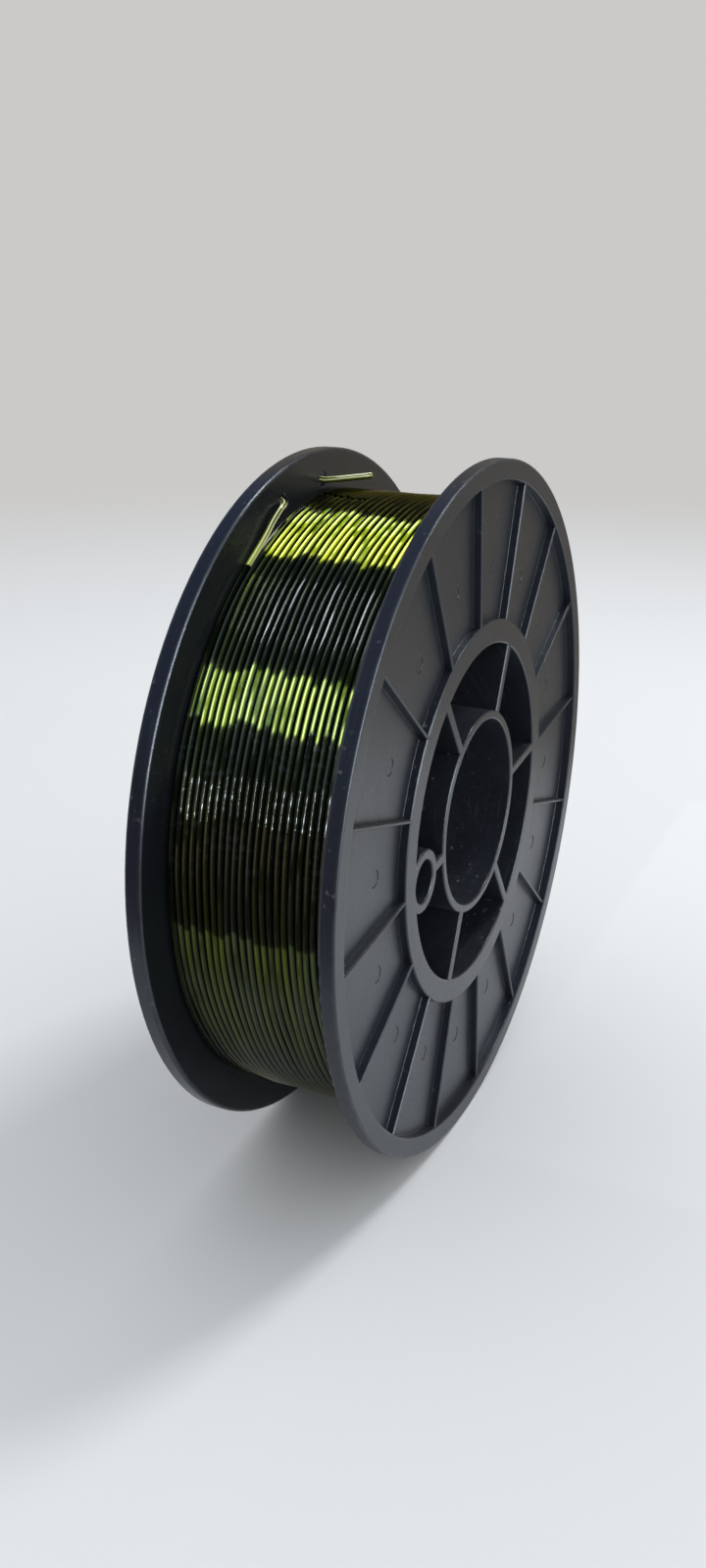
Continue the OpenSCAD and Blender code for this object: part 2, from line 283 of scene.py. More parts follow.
def makeRoundMarksGroup(s):
    # thin marks that run round the axis: a noise of x + r that hardly changes with the angle
    tree, given, out = newGroup("roundMarks", {"Place": None, "Across": 1500.0, "Along": 5.0, "Share": 0.35},
                                ("Mask",))
    flat = vectorCalc(tree, "MULTIPLY", given["Place"], (0.0, 1.0, 1.0), (-900, -200))
    far = vectorCalc(tree, "LENGTH", flat, place=(-700, 0))
    split = addNode(tree, "ShaderNodeSeparateXYZ", (-900, 200))
    tree.links.new(given["Place"], split.inputs[0])
    level = calc(tree, "ADD", split.outputs["X"], far, (-500, 100))
    level = calc(tree, "MULTIPLY", level, given["Across"], (-300, 100))
    way = addNode(tree, "ShaderNodeSeparateXYZ", (-500, -200))
    tree.links.new(vectorCalc(tree, "NORMALIZE", flat, place=(-700, -200)), way.inputs[0])
    joined = addNode(tree, "ShaderNodeCombineXYZ", (-100, 0))
    tree.links.new(level, joined.inputs[0])
    tree.links.new(calc(tree, "MULTIPLY", way.outputs["Y"], given["Along"], (-300, -100)), joined.inputs[1])
    tree.links.new(calc(tree, "MULTIPLY", way.outputs["Z"], given["Along"], (-300, -300)), joined.inputs[2])
    marks = addNode(tree, "ShaderNodeTexNoise", (100, 0))
    marks.inputs["Scale"].default_value = 1
    tree.links.new(joined.outputs[0], marks.inputs["Vector"])
    start = calc(tree, "SUBTRACT", s["start"], given["Share"], (100, -300))
    full = calc(tree, "ADD", start, s["softness"], (300, -300))
    tree.links.new(ramp(tree, marks.outputs[0], start, full, (500, 0)), out["Mask"])
    return tree


wearAndHighlightSet = {"scale": 160, "gaps": (0.3, 0.55)}      # the noise that breaks the wear and the painted highlight up


def makeRimWearAndHighlightGroup(s):
    # the rim's two corners, by the distance from each in radius and in width, broken up by a noise;
    # the lighter colour there is partly wear and partly a painted highlight
    tree, given, out = newGroup("rimWearAndHighlight", {"Place": None, "Radius": 0.1, "HalfWidth": 0.0282,
                                            "InnerX": 0.0236, "Reach": 0.0013}, ("Mask",))
    split = addNode(tree, "ShaderNodeSeparateXYZ", (-1000, 200))
    tree.links.new(given["Place"], split.inputs[0])
    flat = vectorCalc(tree, "MULTIPLY", given["Place"], (0.0, 1.0, 1.0), (-1000, -200))
    far = vectorCalc(tree, "LENGTH", flat, place=(-800, -200))
    inFromRim = calc(tree, "SUBTRACT", given["Radius"], far, (-600, -200))
    width = calc(tree, "ABSOLUTE", split.outputs["X"], place=(-800, 200))
    fromInner = calc(tree, "SUBTRACT", width, given["InnerX"], (-700, 100))
    fromInner = calc(tree, "ABSOLUTE", fromInner, place=(-600, 100))
    inFromFace = calc(tree, "SUBTRACT", given["HalfWidth"], width, (-600, 300))
    inFromFace = calc(tree, "MINIMUM", inFromFace, fromInner, (-500, 200))
    both = calc(tree, "ADD", inFromRim, inFromFace, (-400, 0))
    near = calc(tree, "SUBTRACT", 1.0, ramp(tree, both, 0.0, given["Reach"], (-200, 0)), (0, 0))
    broken = addNode(tree, "ShaderNodeTexNoise", (-200, -300))
    broken.inputs["Scale"].default_value = s["scale"]
    tree.links.new(given["Place"], broken.inputs["Vector"])
    gaps = ramp(tree, broken.outputs[0], *s["gaps"], (0, -300))
    tree.links.new(calc(tree, "MULTIPLY", near, gaps, (300, 0)), out["Mask"])
    return tree


# waves per metre along the strand, then for each tone which of them it takes, where across the noise it runs
# and with what detail, and the values of the noise that become 0 and 1
toneSet = {
    "slow": 6.0,
    "fine": 70.0,
    "kinds": {"Turn": ("Slow", 0.0, 3), "Other": ("Slow", 7.3, 2), "Fine": ("Fine", 3.1, 2)},
    "range": (0.33, 0.67),
}


def makeStrandToneGroup(s):
    # two tones that change from turn to turn, from a noise that is slow along the strand, and a fine one
    tree, given, out = newGroup("strandTone", {"Along": None, "Slow": s["slow"], "Fine": s["fine"]},
                                tuple(s["kinds"]))
    for label, (scale, shift, detail) in s["kinds"].items():
        y = -300 * len(tree.nodes)
        split = addNode(tree, "ShaderNodeSeparateXYZ", (-900, y))
        tree.links.new(given["Along"], split.inputs[0])
        joined = addNode(tree, "ShaderNodeCombineXYZ", (-500, y))
        tree.links.new(calc(tree, "MULTIPLY", split.outputs["X"], given[scale], (-700, y)), joined.inputs[0])
        joined.inputs[1].default_value = shift
        node = addNode(tree, "ShaderNodeTexNoise", (-300, y))
        setInputs(node, {"Scale": 1, "Detail": detail})
        tree.links.new(joined.outputs[0], node.inputs["Vector"])
        tree.links.new(ramp(tree, node.outputs[0], *s["range"], (0, y)), out[label])
    return tree


plasticGrain = makeGrainGroup(grainSet)
settledDust = makeDustGroup(dustSet)
roundMarks = makeRoundMarksGroup(marksSet)
rimWearAndHighlight = makeRimWearAndHighlightGroup(wearAndHighlightSet)
strandTone = makeStrandToneGroup(toneSet)
print("shared effects built:", len(bpy.data.node_groups))

studioSet = {
    "floorZ": -0.1,
    "floorSize": 6,
    "floorColour": (0.77, 0.79, 0.8, 1),
    "backdropColour": (0.6, 0.59, 0.58, 1),    # behind the spool, low down
    "roomColour": (0.11, 0.115, 0.15, 1),      # on the camera's side
    "ceilingColour": (0.16, 0.2, 0.38, 1),
    "wallColour": (0.8, 0.82, 0.85, 1),        # to the right and left
    "fillColour": (0.82, 0.83, 0.845, 1),      # what lights the spool all round
    "fade": (0.45, 1.5),     # how far out the floor takes the backdrop's colour
    "floorRoughness": 0.7,
    "behind": (-0.3, 0.3),   # the direction's Y between the room and the backdrop
    "above": (0.2, 0.45),    # its Z between these and the ceiling
    "wallRight": (0.35, 0.7),        # its X where the walls come in
    "wallLeft": (0.62, 0.85),
}

# for each lamp its direction from the spool, distance, width along X and height, and how bright its face is
lampSet = {
    "keyLamp": dict(way=(0.33, 0.46, 0.82), far=1.5, size=(0.3, 0.3), glow=28, colour=(0.98, 0.99, 1)),
    "sideLamp": dict(way=(0.88, -0.31, 0.34), far=1.3, size=(0.14, 1.1), glow=50, colour=(0.9, 0.95, 1)),
    "backLamp": dict(way=(-0.22, 0.66, 0.72), far=1.3, size=(0.22, 0.44), glow=12, colour=(1, 0.98, 0.85)),
    "warmLamp": dict(way=(-0.19, 0.39, 0.9), far=1.3, size=(0.22, 0.44), glow=11, colour=(1, 0.95, 0.45)),
    "frontLamp": dict(way=(-0.12, -0.69, 0.71), far=1.3, size=(0.2, 0.42), glow=5.4, colour=(0.88, 1, 0.8)),
    "farLamp": dict(way=(0.82, 0.3, 0.44), far=1.3, size=(0.3, 0.4), glow=4, colour=(1, 1, 0.9)),
    "leftLamp": dict(way=(-0.67, -0.52, 0.5), far=1.3, size=(0.16, 0.4), glow=5, colour=(1, 1, 0.9)),
    "lineLamp": dict(way=(-0.44, -0.12, 0.89), far=1.3, size=(0.5, 0.5), glow=13, colour=(0.85, 0.93, 1)),
    "glintLamp": dict(way=(-0.31, -0.93, 0.2), far=1.3, size=(0.14, 0.3), glow=46, colour=(0.8, 0.9, 1)),
}
filamentLamps = ("backLamp", "warmLamp", "frontLamp", "farLamp", "leftLamp", "lineLamp", "glintLamp")
plasticLamps = ("sideLamp",)
shineLamps = ("sideLamp", "lineLamp", "glintLamp")     # seen in gloss alone

# cards that only gloss sees, each by a corner and its two edges: a dark one in front, which puts painted
# shade into the winding's reflections, a board behind the spool, and a pale one on the floor to the right
# of it, which puts a painted reflection into the near face
cardSet = {
    "blackCard": dict(corner=(-0.6, -0.21, -0.0995), across=(0.8, 0, 0), up=(0, 0, 0.1295),
                      colour=(0.2, 0.16, 0.26, 1)),
    "boardCard": dict(corner=(-0.9, 0.32, -0.0995), across=(2.1, 0, 0), up=(0, 0, 0.52),
                      colour=(0.43, 0.36, 0.28, 1)),
    "floorCard": dict(corner=(0.034, -0.02, -0.0997), across=(0.5, 0, 0), up=(0, 0.33, 0),
                      colour=(0.96, 0.97, 0.98, 1)),
}


def backdropMix(tree, place):
    # 1 for a ray from the camera or off gloss or glass, which sees the backdrop, and 0 for the light that
    # fills in
    ray = addNode(tree, "ShaderNodeLightPath", place).outputs
    seen = calc(tree, "MAXIMUM", ray["Is Camera Ray"], ray["Is Glossy Ray"], (place[0] + 200, place[1]))
    return calc(tree, "MAXIMUM", seen, ray["Is Transmission Ray"], (place[0] + 400, place[1]))


def makeFloor(s):
    # a flat square; far out it takes the backdrop's colour, so that no edge shows
    e, z = s["floorSize"], s["floorZ"]
    corners = np.array([[[-e, -e, z], [-e, e, z]], [[e, -e, z], [e, e, z]]], float)
    obj = gridMesh("floor", corners, smooth=False)
    mat, tree, shader = newMaterial("floorPaint")
    setInputs(shader, {"Base Color": s["floorColour"], "Roughness": s["floorRoughness"]})
    spot = addNode(tree, "ShaderNodeTexCoord", (-800, 200)).outputs["Object"]
    far = vectorCalc(tree, "LENGTH", spot, place=(-600, 200))
    share = calc(tree, "MULTIPLY", ramp(tree, far, *s["fade"], (-400, 200)),
                 backdropMix(tree, (-600, 500)), (0, 300))
    glow = addNode(tree, "ShaderNodeEmission", (600, -400))
    glow.inputs["Color"].default_value = s["backdropColour"]
    mix = addNode(tree, "ShaderNodeMixShader", (750, 200))
    feed(tree, mix.inputs[0], share)
    feed(tree, mix.inputs[1], shader.outputs[0])
    feed(tree, mix.inputs[2], glow.outputs[0])
    tree.links.new(mix.outputs[0], tree.nodes["Material Output"].inputs[0])
    obj.data.materials.append(mat)


def makeWorld(s):
    # the camera sees the plain backdrop all round; gloss sees it behind, a darker room in front, a dark
    # ceiling and a pale wall to the right and left, all by the direction's X, Y and Z
    world = bpy.data.worlds.new("studio")
    scene.world = world
    world.use_nodes = True
    tree = world.node_tree
    tree.nodes.clear()
    split = addNode(tree, "ShaderNodeSeparateXYZ", (-800, 0))
    tree.links.new(addNode(tree, "ShaderNodeTexCoord", (-1000, 0)).outputs["Generated"], split.inputs[0])
    behind = ramp(tree, split.outputs["Y"], *s["behind"], (-600, 200))
    low = blend(tree, behind, s["roomColour"], s["backdropColour"], (-400, 100))
    above = ramp(tree, split.outputs["Z"], *s["above"], (-600, -200))
    seen = blend(tree, above, low, s["ceilingColour"], (-200, 0))
    left = calc(tree, "MULTIPLY", split.outputs["X"], -1, (-800, -400))
    wall = calc(tree, "MAXIMUM", ramp(tree, split.outputs["X"], *s["wallRight"], (-600, -400)),
                ramp(tree, left, *s["wallLeft"], (-600, -600)), (-400, -500))
    gloss = blend(tree, wall, seen, s["wallColour"], (0, -100))
    path = addNode(tree, "ShaderNodeLightPath", (-400, 500))
    shown = addNode(tree, "ShaderNodeBackground", (400, 200))
    toCamera = path.outputs["Is Camera Ray"]
    feed(tree, shown.inputs[0], blend(tree, toCamera, gloss, s["backdropColour"], (200, 200)))
    fill = addNode(tree, "ShaderNodeBackground", (400, 0))
    fill.inputs[0].default_value = s["fillColour"]
    mix = addNode(tree, "ShaderNodeMixShader", (600, 100))
    feed(tree, mix.inputs[0], backdropMix(tree, (-200, 700)))
    feed(tree, mix.inputs[1], fill.outputs[0])
    feed(tree, mix.inputs[2], shown.outputs[0])
    tree.links.new(mix.outputs[0], addNode(tree, "ShaderNodeOutputWorld", (800, 0)).inputs[0])


def makeLamp(name, s):
    # an area lamp's power over its area and pi is the brightness of its face
    data = bpy.data.lights.new(name, "AREA")
    data.shape = "RECTANGLE"
    data.size, data.size_y = s["size"]
    data.energy = s["glow"] * data.size * data.size_y * np.pi
    data.color = s["colour"]
    obj = bpy.data.objects.new(name, data)
    scene.collection.objects.link(obj)
    z = unit(np.array(s["way"], float))
    y = unit(np.cross(z, [1, 0, 0]))
    putAt(obj, np.cross(y, z), y, z, z * s["far"])
    obj.visible_camera = False
    obj.visible_diffuse = name not in shineLamps


def makeCard(name, s):
    # a matt four-sided face, seen by gloss alone
    corner, across, up = (np.array(s[key], float) for key in ("corner", "across", "up"))
    corners = np.array([[corner, corner + up], [corner + across, corner + across + up]])
    obj = gridMesh(name, corners, smooth=False)
    mat, tree, shader = newMaterial(name)
    setInputs(shader, {"Base Color": s["colour"], "Roughness": 1, "Specular IOR Level": 0})
    obj.data.materials.append(mat)
    obj.visible_camera = obj.visible_diffuse = obj.visible_shadow = obj.visible_transmission = False


makeFloor(studioSet)
makeWorld(studioSet)
for lampName, lamp in lampSet.items():
    makeLamp(lampName, lamp)
for cardName, card in cardSet.items():
    makeCard(cardName, card)
print("studio set:", len(lampSet), "lamps and", len(cardSet), "cards")

# what both halves share
mouldedSet = {
    "fine": 1100.0,          # waves per metre of the skin, and of the slow flow under it
    "slow": 40.0,
    "amount": 0.16,
    "rubbedAndHighlight": (0.04, 0.044, 0.05, 1),        # the rim's worn corners, partly painted highlight, and how far they take that colour
    "rubbedAndHighlightShare": 0.6,
    "marked": (0.03, 0.034, 0.04, 1),
    "markedShare": 0.25,
    "dusty": (0.3, 0.29, 0.27, 1),
    "cornerRadius": 0.0004,
    "cornerSamples": 4,
    "cornerTurn": (0.01, 0.12),      # 1 less the cosine of the normal's turn, where a corner starts to shine
    "markRoughness": 0.06,
    "dustRoughness": 0.3,
    "bump": 0.000007,
    "inputs": {"IOR": 1.58, "Specular Tint": (0.84, 0.93, 1, 1), "Sheen Weight": 0.02,
               "Sheen Roughness": 0.4, "Sheen Tint": (0.8, 0.92, 1, 1)},
}

# and what each has to itself
plasticSet = {
    "right_half": dict(colour=(0.007, 0.0088, 0.014, 1), roughness=0.4, dust=0.32, marks=0.33, polish=0.16),
    # painted shade: the left half's colour is darker than the right half's, for its inner face, which lies in
    # shade
    "left_half": dict(colour=(0.005, 0.0064, 0.0105, 1), roughness=0.3, dust=0.3, marks=0.3, polish=0.08),
}


def makePlastic(name, s, m):
    # black moulded plastic: a fine skin, slow flow waves, soft corners, rubbed rims with a painted
    # highlight on their corners, round marks and dust
    mat, tree, shader = newMaterial(name)
    place = addNode(tree, "ShaderNodeTexCoord", (-1600, 0)).outputs["Object"]
    grain = useGroup(tree, plasticGrain, (-1200, 300), Place=place, Fine=m["fine"], Slow=m["slow"],
                     Amount=m["amount"])
    wearAndHighlight = useGroup(tree, rimWearAndHighlight, (-1200, 0), Place=place)["Mask"]
    marks = useGroup(tree, roundMarks, (-1200, -300), Place=place, Share=s["marks"])["Mask"]
    dust = useGroup(tree, settledDust, (-1200, -600), Place=place, Amount=s["dust"])["Mask"]
    colour = vectorCalc(tree, "SCALE", s["colour"][:3], grain["Tone"], (-900, 300))
    # the rim corners turn lighter: partly wear, partly painted highlight
    share = calc(tree, "MULTIPLY", wearAndHighlight, m["rubbedAndHighlightShare"], (-900, 0))
    colour = blend(tree, share, colour, m["rubbedAndHighlight"], (-600, 200))
    share = calc(tree, "MULTIPLY", marks, m["markedShare"], (-900, -200))
    colour = blend(tree, share, colour, m["marked"], (-400, 200))
    colour = blend(tree, dust, colour, m["dusty"], (-200, 200))
    feed(tree, shader.inputs["Base Color"], colour)
    corners = addNode(tree, "ShaderNodeBevel", (-1200, -900), samples=m["cornerSamples"])
    corners.inputs["Radius"].default_value = m["cornerRadius"]
    flat = addNode(tree, "ShaderNodeNewGeometry", (-1200, -1100)).outputs["Normal"]
    same = vectorCalc(tree, "DOT_PRODUCT", corners.outputs[0], flat, (-1000, -1000))
    turned = calc(tree, "SUBTRACT", 1.0, same, (-800, -1000))
    polish = ramp(tree, turned, *m["cornerTurn"], (-600, -1000))
    rough = calc(tree, "MULTIPLY", grain["Tone"], s["roughness"], (-600, -100))
    changes = (("SUBTRACT", polish, s["polish"]), ("ADD", marks, m["markRoughness"]),
               ("ADD", dust, m["dustRoughness"]))
    for k, (way, mask, amount) in enumerate(changes):
        change = calc(tree, "MULTIPLY", mask, amount, (200 * k - 600, -250 - 150 * k))
        rough = calc(tree, way, rough, change, (200 * k - 400, -100))
    feed(tree, shader.inputs["Roughness"], rough)
    setInputs(shader, m["inputs"])
    bump = addNode(tree, "ShaderNodeBump", (300, -400))
    bump.inputs["Distance"].default_value = m["bump"]
    feed(tree, bump.inputs["Height"], grain["Height"])
    feed(tree, bump.inputs["Normal"], corners.outputs[0])
    feed(tree, shader.inputs["Normal"], bump.outputs[0])
    return mat


for nodeName, finish in plasticSet.items():
    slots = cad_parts[nodeName].data.materials
    plastic = makePlastic("plastic_" + nodeName, finish, mouldedSet)
    if len(slots) == 0:
        slots.append(plastic)
    for k in range(len(slots)):
        slots[k] = plastic
print("plastic finished")

windingSet = {
    "diameter": 0.00175,
    "turns": 23,
    "firstX": 0.022542,      # middle of the strand beside the right flange, and the same on the left
    "endTurn": -33,          # where the last turn leaves for the tie hole, right above the first one's start
    "pathRadius": 0.087925,
    "riseBend": 0.0035,      # the strand comes up out of the layer below in this bend
    "riseSteps": 12,
    "riseSettle": 3,         # rings past the bend that still lie square to the axis
    "stepsPerTurn": 150,
    "sides": 14,
    "drift": 0.00009,        # sideways, shared by turns near each other
    "swell": 0.00014,        # in and out, shared by turns near each other
    "waves": 12,             # how many cosines, of how many whole waves round the axis
    "wholeWaves": (3, 16),
    "driftShift": 900,       # radians per metre that a wave may move along the axis
    "swellShift": 500,
    "ripple": 0.000012,      # in and out, each turn on its own
    "rippleCount": 10,
    "rippleWaves": (14, 40),
    "ripplePhase": 6.28,
    "fade": 6,               # the waves fade in over one turn divided by this, at both ends
    "seed": 11,
}

# the two tie holes and the way through them, from the left flange's own sizes
tieSet = {
    "outTurn": -15,
    "backTurn": 0,
    "radius": 0.0916,
    "insideX": -0.022225,    # where the strand lies along the flange, inside and outside
    "outsideX": -0.026575,
    "innerX": -0.0236,       # the flange's faces
    "panelX": -0.0252,
    "standOff": 0.0003,      # how far it lifts where it bends
    "leave": 10,             # degrees from the middle of a hole, from far to near
    "climb": 6.5,
    "bendFar": 3.2,
    "bendNear": 1.5,
    "through": 0.35,
    "inward": 0.002,
    "endLength": 0.015,
    "endRise": 0.002,
    "steps": 10,
    "wound": 4,              # rings that still look like the winding
}


def smoothThrough(places, steps):
    # Catmull-Rom: each point is a weighted sum of four places in a row
    p = np.vstack([2 * places[0] - places[1], places, 2 * places[-1] - places[-2]])
    t = np.arange(steps)[None, :, None] / steps
    a, b, c, d = p[:-3, None], p[1:-2, None], p[2:-1, None], p[3:, None]
    curve = 0.5 * (2 * b + (c - a) * t + (2 * a - 5 * b + 4 * c - d) * t ** 2
                   + (3 * b - a - 3 * c + d) * t ** 3)
    return np.vstack([curve.reshape(-1, 3), places[-1:]])


def placeAt(x, radius, degrees):
    angle = np.radians(degrees)
    return np.array([x, radius * np.sin(angle), radius * np.cos(angle)])


def tailPath(w, t):
    # off the last turn, up the flange, out through one tie hole, back through the other, and on as a
    # straight end, by each stop's X, radius and angle
    end = placeAt(-w["firstX"], w["pathRadius"], w["endTurn"])
    away = alongAt(np.radians(float(w["endTurn"]))) * w["diameter"]
    top, r, off = w["pathRadius"] + w["diameter"] / 2, t["radius"], t["standOff"]
    inX, outX, innerX, panelX = t["insideX"], t["outsideX"], t["innerX"], t["panelX"]
    out, back, far, near, hole = t["outTurn"], t["backTurn"], t["bendFar"], t["bendNear"], t["through"]
    stops = [(inX, top + off, out - t["leave"]), (inX, (top + r) / 2 + off, out - t["climb"]),
             (inX, r, out - far), (inX - off, r, out - near), (innerX, r, out - hole),
             (panelX, r, out + hole), (outX + off, r, out + near), (outX, r, out + far),
             (outX, r, (out + back) / 2),
             (outX, r, back - far), (outX + off, r, back - near), (panelX, r, back - hole),
             (innerX, r, back), (innerX + t["inward"], r, back),
             (innerX + t["endLength"], r + t["endRise"], back)]
    places = [end + away, end + 2 * away] + [placeAt(*stop) for stop in stops]
    return smoothThrough(np.array(places), t["steps"])


def sharedWaves(angle, x, w, most, rng):
    # a sum of cosines of whole waves round the axis that shift slowly from turn to turn
    total = 0 * angle
    for k in range(w["waves"]):
        count = rng.integers(*w["wholeWaves"])
        total += np.cos(count * angle + rng.uniform(-most, most) * x + rng.uniform(0, 2 * np.pi))
    return total / np.sqrt(w["waves"])


def windingPath(w):
    # a helix round X: the angle grows and x falls evenly, with small waves in and out and sideways
    rng = np.random.default_rng(w["seed"])
    t = np.linspace(0, 1, w["turns"] * w["stepsPerTurn"] + 1)
    angle = np.radians(w["endTurn"]) - 2 * np.pi * w["turns"] * (1 - t)
    x = w["firstX"] * (1 - 2 * t)
    fade = np.clip(np.minimum(t, 1 - t) * w["turns"] * w["fade"], 0, 1)
    many = w["rippleCount"]
    own = angle[:, None] * rng.uniform(*w["rippleWaves"], many) + rng.uniform(0, w["ripplePhase"], many)
    own = np.cos(own).sum(1) / np.sqrt(many)
    swell = w["swell"] * sharedWaves(angle, x, w, w["swellShift"], rng)
    r = w["pathRadius"] + fade * (swell + w["ripple"] * own)
    x = x + fade * w["drift"] * sharedWaves(angle, x, w, w["driftShift"], rng)
    return outAt(angle) * r[:, None] + x[:, None] * np.array([1, 0, 0])


def risePath(w):
    # a straight piece out from the axis and a quarter bend: back by R sin b and in by R (1 - cos b)
    start = placeAt(w["firstX"], w["pathRadius"], w["endTurn"])
    angle, bend = np.radians(float(w["endTurn"])), w["riseBend"]
    b = np.radians(np.linspace(90, 0, w["riseSteps"] + 1))[:-1, None]
    arc = start - bend * np.sin(b) * alongAt(angle) - bend * (1 - np.cos(b)) * outAt(angle)
    return np.vstack([arc[:1] - w["diameter"] * outAt(angle), arc])


# a strand's rounded end: the angles of its rings up from the strand's side, and its height over its radius
domeSet = {"rings": (80, 60, 35), "height": 0.35}


def sweepStrand(path, radius, sides, side, d):
    # rings of points round the path and square to it, side cos + up sin of the angle round, closed by a dome
    # at both ends
    along = unit(np.gradient(path, axis=0))
    side = unit(side - along * (side * along).sum(1, keepdims=True))
    up = np.cross(side, along)
    a = np.arange(sides) * 2 * np.pi / sides
    ring = np.cos(a)[None, :, None] * side[:, None] + np.sin(a)[None, :, None] * up[:, None]
    dome, height = np.radians(d["rings"])[:, None, None], radius * d["height"]
    first = path[0] - along[0] * height * np.sin(dome) + radius * np.cos(dome) * ring[:1]
    last = path[-1] + along[-1] * height * np.sin(dome[::-1]) + radius * np.cos(dome[::-1]) * ring[-1:]
    grid = np.concatenate([first, path[:, None] + radius * ring, last])
    length = np.concatenate([[0], np.cumsum(np.linalg.norm(np.diff(path, axis=0), axis=1))])
    length = np.concatenate([np.zeros(len(dome)), length, np.full(len(dome), length[-1])])
    u = np.repeat(length[:, None], sides + 1, 1)
    v = np.repeat(np.arange(sides + 1)[None] / sides, len(grid), 0)
    return grid, np.stack([u, v], -1)


strandSet = {
    "edge": (0.0012, 0.0014, 0.001, 1),      # painted shade: the sides of a strand, dark where no light comes back
    "sides": (0.5, 0.88),    # how far a normal points out, from the painted shade of the sides to the body's colour
    "deep": (0.017, 0.025, 0.0045, 1),
    "bright": (0.047, 0.061, 0.0035, 1),
    "grey": (0.025, 0.038, 0.012, 1),
    "greyTurns": (0.45, 0.9),
    "paintedCrestHighlight": (0.205, 0.235, 0.09, 1),         # painted highlight: the thin pale lines along the crests
    "paintedHighlightCrest": (0.95, 0.985),
    "paintedHighlightBreaks": (0.05, 0.5),
    "paintedHighlightBelow": 0.2,        # how much of the painted highlight is left low down
    "inputs": {"Metallic": 1, "Roughness": 0.08, "Specular Tint": (0.42, 0.42, 0.25, 1),
               "Coat Roughness": 0.03, "Coat IOR": 1.5},
    "flatten": 0.955,        # how far the mirror inside a strand follows the winding and not the strand
    "aside": 0.18,           # how far it leans to the right
    "lean": 0.065,           # and forward or back, each turn by its own amount and with the turns round it
    "leanOwn": 0.6,
    "leanWaves": (260.0, 30.0, 30.0),
    "leanMiddle": 0.8,
    "soften": 0.6,           # how far the coat's own mirror follows the winding
}

# where the coat shows, laid by place on the winding so the lamps' highlights fall only there, as a
# painted highlight: up, ahead and out are cosines from straight up, towards -Y and out from the axis
coatSet = {
    "most": 0.85,            # of the white lines and the glints
    "high": (0.55, 0.65),    # up, where the white lines take over from the glints
    "low": (-0.05, 0.2),     # up, where the glints start
    "front": (0.35, 0.6),    # ahead, where lines and glints start
    "crest": (0.22, 0.36),   # how far a normal points aside where a line ends
    "inside": (-0.0185, -0.0135),    # X where the lines start, clear of the left flange
    "someTurns": (0.38, 0.72),
    "lineWaves": (60.0, 0.0, 0.0),
    "lineBreaks": (0.44, 0.56),
    "glintWaves": (480.0, 0.0, 0.0),
    "glintBreaks": (0.49, 0.6),
    "patchWaves": (170.0, 170.0, 170.0),
    "patches": (0.43, 0.56),
    "thinAbove": 0.15,       # the coat all over the front, and low on it, where it paints a reflection of the floor
    "thinBelow": 0.5,
    "below": (-0.32, -0.14),
    "thinFront": (-0.12, 0.12),
    "out": (0.25, 0.55),     # it ends at the sides of a strand
}


def product(tree, first, *others, place):
    # all of the values multiplied in turn
    for k, other in enumerate(others):
        first = calc(tree, "MULTIPLY", first, other, (place[0] + 200 * k, place[1]))
    return first


def coatWeight(tree, s, place, uv, tone, up, ahead, toCrest, toRight):
    # painted highlights laid by place: broken white lines high on the front, patches of glints under them,
    # and a thin coat below both
    high, low = ramp(tree, up, *s["high"], (-1100, -600)), ramp(tree, up, *s["low"], (-1100, -900))
    long = ramp(tree, noise(tree, uv, s["lineWaves"], (-1100, -1100), 1.0), *s["lineBreaks"], (-900, -1100))
    short = noise(tree, uv, s["glintWaves"], (-1100, -1300), 3.0)
    short = ramp(tree, short, *s["glintBreaks"], (-900, -1300))
    aside = ramp(tree, calc(tree, "ABSOLUTE", toRight, place=(-1100, -1500)), *s["crest"], (-900, -1500))
    split = addNode(tree, "ShaderNodeSeparateXYZ", (-1100, -1700))
    tree.links.new(place, split.inputs[0])
    inside = ramp(tree, split.outputs["X"], *s["inside"], (-900, -1700))
    some = ramp(tree, tone["Other"], *s["someTurns"], (-900, -1900))
    patch = ramp(tree, noise(tree, place, s["patchWaves"], (-1100, -2100)), *s["patches"], (-900, -2100))
    onCrest = calc(tree, "SUBTRACT", 1.0, aside, (-700, -1500))
    line = product(tree, onCrest, product(tree, long, some, place=(-700, -1200)),
                   product(tree, inside, high, place=(-700, -1700)), place=(-500, -1300))
    under = calc(tree, "SUBTRACT", 1.0, high, (-900, -700))
    glint = product(tree, product(tree, short, low, place=(-700, -900)), under, patch, place=(-500, -900))
    cover = calc(tree, "MAXIMUM", line, glint, (-100, -1000))
    cover = product(tree, cover, s["most"], ramp(tree, ahead, *s["front"], (-300, -1600)), place=(0, -1000))
    above = ramp(tree, up, *s["below"], (-900, -2500))
    share = calc(tree, "MULTIPLY", above, s["thinBelow"] - s["thinAbove"], (-700, -2500))
    share = calc(tree, "SUBTRACT", s["thinBelow"], share, (-500, -2500))
    thin = product(tree, ramp(tree, ahead, *s["thinFront"], (-500, -2300)), share, place=(-300, -2300))
    weight = calc(tree, "ADD", cover, thin, (300, -1000))
    return product(tree, weight, ramp(tree, toCrest, *s["out"], (300, -1200)), place=(500, -1000))


